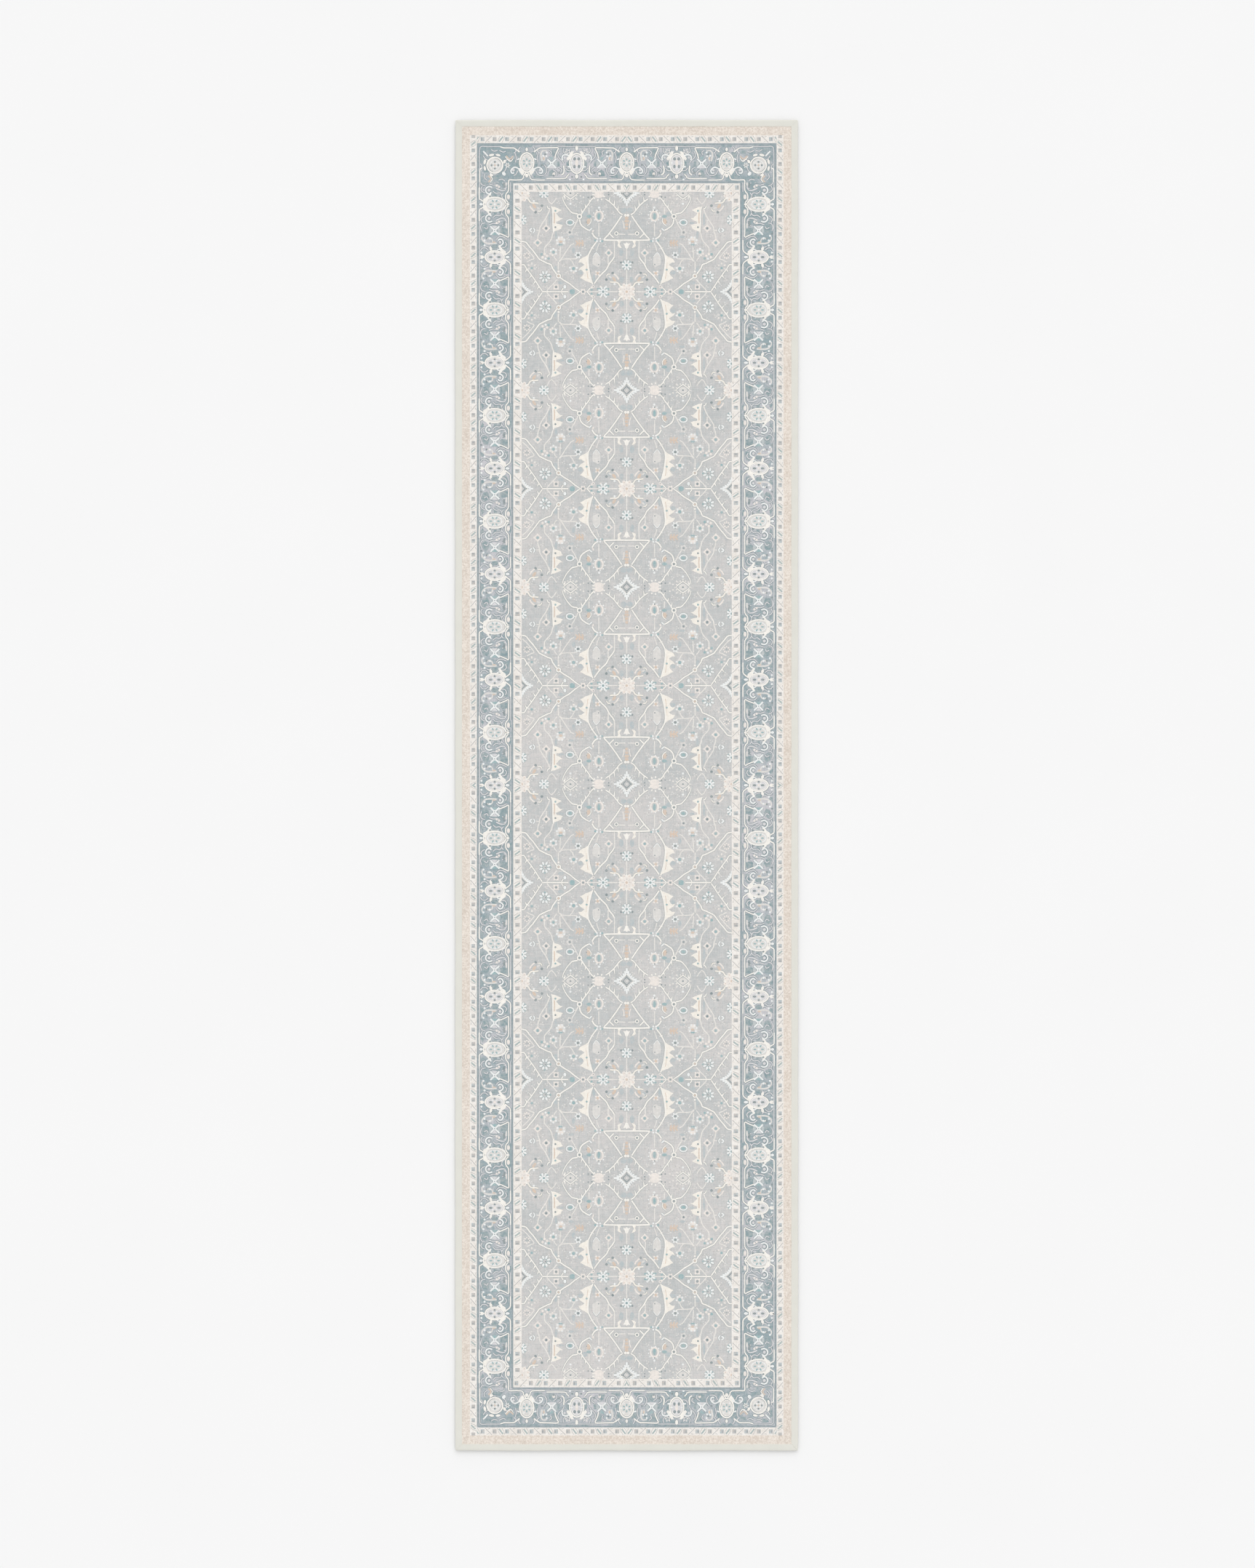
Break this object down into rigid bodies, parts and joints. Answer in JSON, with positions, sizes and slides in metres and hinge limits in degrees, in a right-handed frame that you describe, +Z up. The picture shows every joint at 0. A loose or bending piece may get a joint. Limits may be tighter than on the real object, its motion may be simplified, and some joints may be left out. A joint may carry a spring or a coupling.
{
  "type": "runner rug",
  "caption": "Long thin runner rug: a printed flat cover with a bound edge, lying on a separate non-slip pad that it lifts off.",
  "frame": {"origin": "centre of the underside of the pad, on the floor", "axes": "+X across the rug, +Y along the rug towards the head end, +Z up out of the printed face"},
  "size_m": [0.762, 2.96, 0.0076],
  "materials": {
    "printed_face": "matt short-pile face, printed in faded grey-blue, ivory and sand",
    "binding_tape": "matt woven tape, pale sage",
    "thread": "polyester sewing thread, pale sage",
    "loop_cloth": "brushed loop knit, off-white",
    "film": "thin soft film",
    "hook_sheet": "short moulded hooks, grey",
    "pad_felt": "needled felt, flecked grey",
    "pad_rubber": "dotted natural rubber, dark grey",
    "label_cloth": "plain satin label, blank"
  },
  "bodies": {
    "pad": {"pad_grip_sheet": "pad_rubber", "pad_cushion": "pad_felt", "pad_hook_sheet": "hook_sheet"},
    "cover": {"loop_backing": "loop_cloth", "barrier_film": "film", "face_fabric": "printed_face", "binding_left": "binding_tape", "binding_right": "binding_tape", "binding_head": "binding_tape", "binding_foot": "binding_tape", "seam_left": "thread", "seam_right": "thread", "seam_head": "thread", "seam_foot": "thread", "care_label": "label_cloth"}
  },
  "joints": [
    {"name": "cover_lift", "type": "slide", "parent": "pad", "child": "cover", "axis": [0, 0, 1], "range_m": [0, 0.15]}
  ]
}
